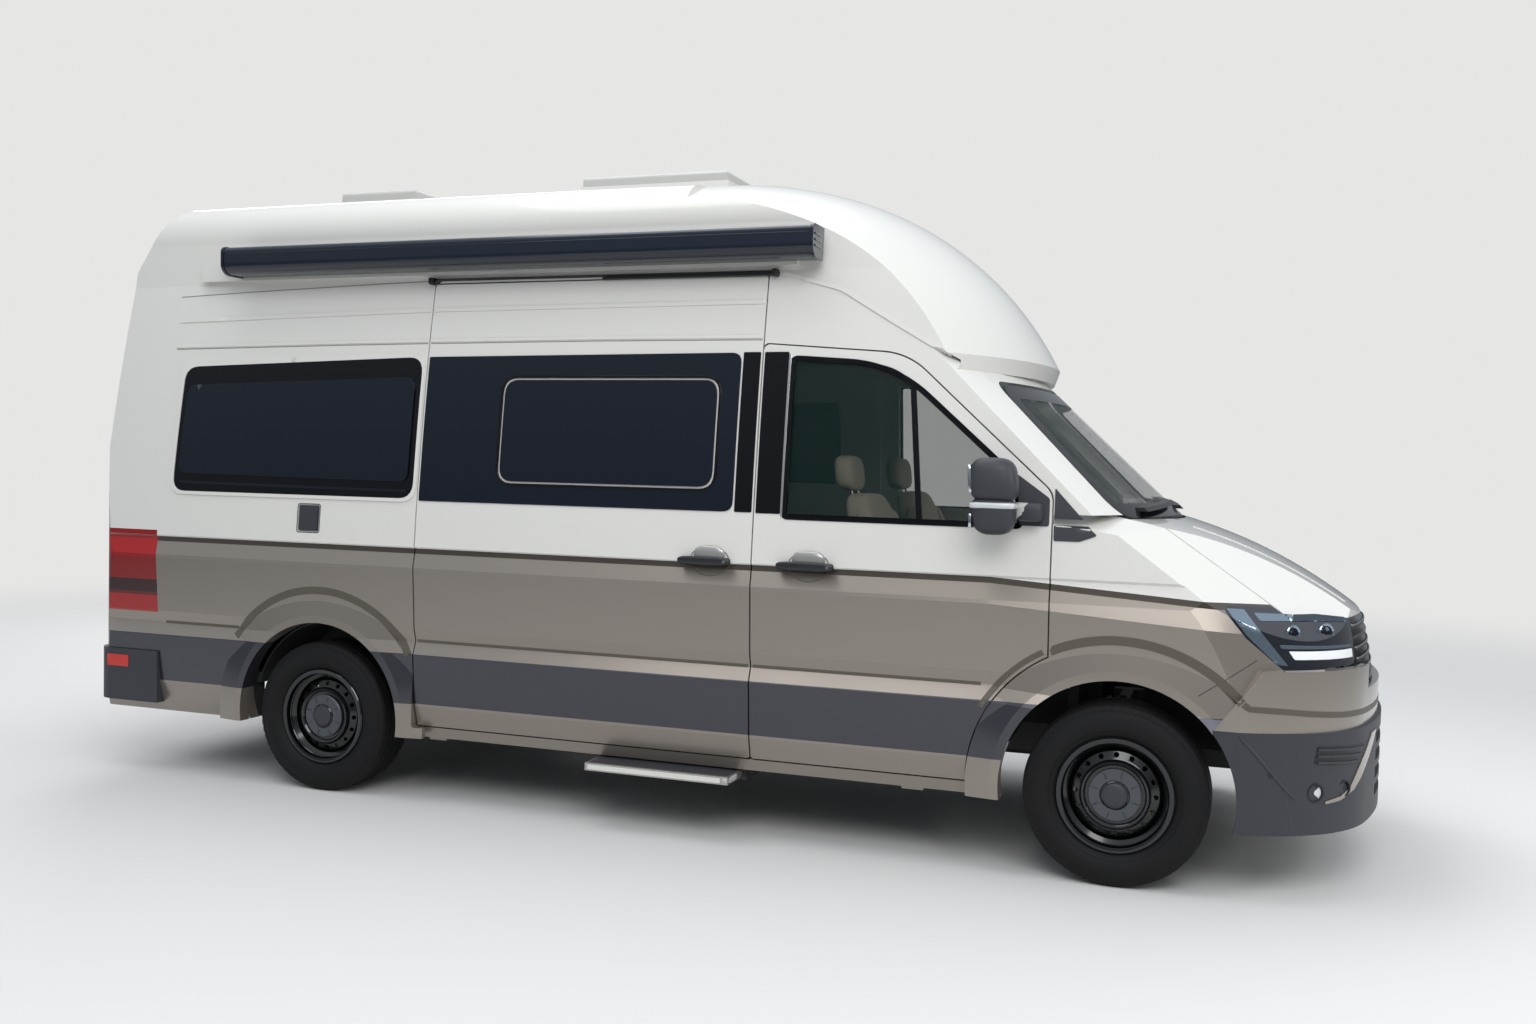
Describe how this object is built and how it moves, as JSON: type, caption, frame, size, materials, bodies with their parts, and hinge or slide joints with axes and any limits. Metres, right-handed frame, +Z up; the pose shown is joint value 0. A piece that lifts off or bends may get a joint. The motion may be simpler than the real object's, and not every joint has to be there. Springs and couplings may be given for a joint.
{
  "type": "camper van",
  "caption": "High-roof camper van with an over-cab bulge, turning and steering wheels, opening doors, bonnet, lids and a sliding step.",
  "frame": {"origin": "on the ground under the middle of the vehicle", "axes": "+X to the nose, +Y to the left side, +Z up"},
  "size_m": [5.986, 2.426, 2.9709],
  "materials": {
    "cab_plastic": "grained cab plastic",
    "cast_metal": "cast",
    "chassis_steel": "coated chassis steel",
    "clear_glass": "tinted safety glass",
    "dark_glass": "privacy glass",
    "dark_moulding": "grained dark grey moulding",
    "dark_paint": "anthracite powder coat",
    "grille_trim": "bright bars on black",
    "lamp_clear": "clear lamp lens",
    "lamp_red": "red lamp lens",
    "roof_gelcoat": "white gelcoat on glass-fibre",
    "seat_cloth": "woven seat cloth",
    "silver_paint": "warm silver metallic paint",
    "step_alloy": "anodised",
    "tyre_rubber": "moulded tyre rubber",
    "wheel_steel": "black painted steel",
    "white_paint": "gloss two-tone body paint, white over warm silver"
  },
  "bodies": {
    "root": {"awning_adapter": "roof_gelcoat", "awning_case": "dark_paint", "body_side_left": "white_paint", "body_side_right": "white_paint", "bulkhead": "white_paint", "cab_header": "white_paint", "cab_seats": "seat_cloth", "chassis_rails": "chassis_steel", "cowl": "dark_moulding", "dashboard": "cab_plastic", "engine": "cast_metal", "exhaust": "chassis_steel", "floor_pan": "chassis_steel", "front_subframe": "chassis_steel", "front_wings": "white_paint", "fuel_tank": "dark_moulding", "grille": "grille_trim", "headlamps": "lamp_clear", "high_roof": "roof_gelcoat", "lower_bumper": "dark_moulding", "rear_axle": "chassis_steel", "rear_bumper": "dark_moulding", "rear_frame": "white_paint", "roof_vents": "cab_plastic", "side_windows": "dark_glass", "sliding_door": "white_paint", "sliding_door_glass": "dark_glass", "steering_wheel": "cab_plastic", "step_housing": "chassis_steel", "tail_lamps": "lamp_red", "upper_bumper": "silver_paint", "wheel_boxes": "chassis_steel", "windscreen": "clear_glass", "wiper_arms": "dark_moulding"},
    "knuckle_right": {"knuckle_right": "cast_metal"},
    "wheel_front_right": {"tyre_front_right": "tyre_rubber", "rim_front_right": "wheel_steel"},
    "wheel_rear_right": {"tyre_rear_right": "tyre_rubber", "rim_rear_right": "wheel_steel"},
    "front_door_right": {"front_door_right": "white_paint", "front_door_glass_right": "clear_glass", "mirror_right": "dark_moulding"},
    "rear_door_right": {"rear_door_right": "white_paint", "rear_door_glass_right": "dark_glass"},
    "knuckle_left": {"knuckle_left": "cast_metal"},
    "wheel_front_left": {"tyre_front_left": "tyre_rubber", "rim_front_left": "wheel_steel"},
    "wheel_rear_left": {"tyre_rear_left": "tyre_rubber", "rim_rear_left": "wheel_steel"},
    "front_door_left": {"front_door_left": "white_paint", "front_door_glass_left": "clear_glass", "mirror_left": "dark_moulding"},
    "rear_door_left": {"rear_door_left": "white_paint", "rear_door_glass_left": "dark_glass"},
    "bonnet": {"bonnet": "white_paint"},
    "entry_step": {"entry_step": "step_alloy"},
    "socket_flap": {"socket_flap": "dark_moulding"},
    "vent_lid_large": {"vent_lid_large": "dark_glass"},
    "vent_lid_small": {"vent_lid_small": "dark_glass"}
  },
  "joints": [
    {"name": "steering_right", "type": "hinge", "parent": "root", "child": "knuckle_right", "pos_m": [1.997, -0.72, 0.352], "axis": [0, 0, 1], "range_deg": [-35, 35]},
    {"name": "front_wheel_spin_right", "type": "hinge", "parent": "knuckle_right", "child": "wheel_front_right", "pos_m": [1.997, -0.879, 0.352], "axis": [0, 1, 0], "continuous": true},
    {"name": "rear_wheel_spin_right", "type": "hinge", "parent": "root", "child": "wheel_rear_right", "pos_m": [-1.643, -0.879, 0.352], "axis": [0, 1, 0], "continuous": true},
    {"name": "front_door_hinge_right", "type": "hinge", "parent": "root", "child": "front_door_right", "pos_m": [1.738, -1.022, 1.2], "axis": [0, 0, 1], "range_deg": [0, 70]},
    {"name": "rear_door_hinge_right", "type": "hinge", "parent": "root", "child": "rear_door_right", "pos_m": [-2.966, -0.823, 1.4], "axis": [0, 0, 1], "range_deg": [0, 180]},
    {"name": "steering_left", "type": "hinge", "parent": "root", "child": "knuckle_left", "pos_m": [1.997, 0.72, 0.352], "axis": [0, 0, 1], "range_deg": [-35, 35]},
    {"name": "front_wheel_spin_left", "type": "hinge", "parent": "knuckle_left", "child": "wheel_front_left", "pos_m": [1.997, 0.879, 0.352], "axis": [0, 1, 0], "continuous": true},
    {"name": "rear_wheel_spin_left", "type": "hinge", "parent": "root", "child": "wheel_rear_left", "pos_m": [-1.643, 0.879, 0.352], "axis": [0, 1, 0], "continuous": true},
    {"name": "front_door_hinge_left", "type": "hinge", "parent": "root", "child": "front_door_left", "pos_m": [1.738, 1.022, 1.2], "axis": [0, 0, -1], "range_deg": [0, 70]},
    {"name": "rear_door_hinge_left", "type": "hinge", "parent": "root", "child": "rear_door_left", "pos_m": [-2.966, 0.823, 1.4], "axis": [0, 0, -1], "range_deg": [0, 180]},
    {"name": "bonnet_hinge", "type": "hinge", "parent": "root", "child": "bonnet", "pos_m": [1.975, 0, 1.425], "axis": [0, -1, 0], "range_deg": [0, 50]},
    {"name": "entry_step_slide", "type": "slide", "parent": "root", "child": "entry_step", "axis": [0, -1, 0], "range_m": [0, 0.25]},
    {"name": "socket_flap_hinge", "type": "hinge", "parent": "root", "child": "socket_flap", "pos_m": [-1.709, -1.0035, 1.3465], "axis": [-1, 0, 0], "range_deg": [0, 100]},
    {"name": "vent_lid_large_hinge", "type": "hinge", "parent": "root", "child": "vent_lid_large", "pos_m": [-0.682, 0, 2.922], "axis": [0, -1, 0], "range_deg": [0, 60]},
    {"name": "vent_lid_small_hinge", "type": "hinge", "parent": "root", "child": "vent_lid_small", "pos_m": [-2.132, 0, 2.922], "axis": [0, -1, 0], "range_deg": [0, 45]}
  ],
  "couplings": [
    {"joint": "steering_left", "follows": "steering_right", "ratio": 1}
  ]
}
